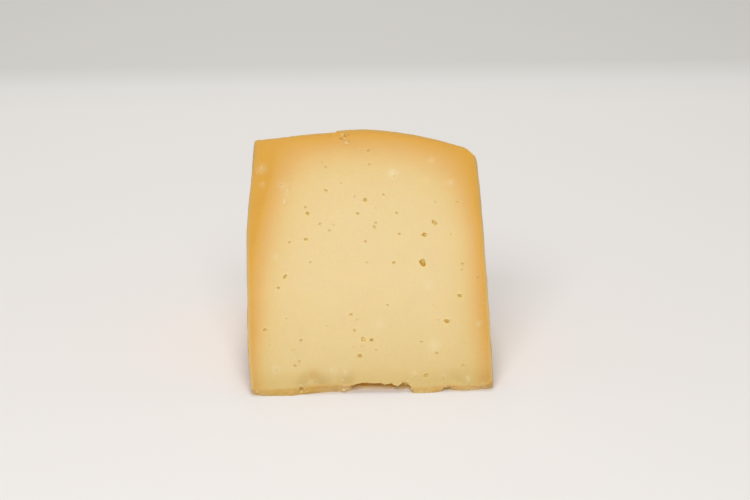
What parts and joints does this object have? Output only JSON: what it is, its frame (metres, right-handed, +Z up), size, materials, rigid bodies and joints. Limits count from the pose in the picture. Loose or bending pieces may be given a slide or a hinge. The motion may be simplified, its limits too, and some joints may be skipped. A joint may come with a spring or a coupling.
{
  "type": "smoked parmesan cheese wedge",
  "caption": "Wedge of smoked parmesan lying on one cut face, the other cut face leaning back, with rind on both sides and the heel.",
  "frame": {"origin": "on the table, under the middle of the wedge's bounding box", "axes": "+Z up, +X along the wheel's axis from the wheel's left side to its right side, +Y from the thin front edge back to the heel"},
  "size_m": [0.091, 0.1082, 0.0828],
  "materials": {
    "cheese": "satin"
  },
  "bodies": {
    "root": {"cheese": "cheese"}
  },
  "joints": []
}
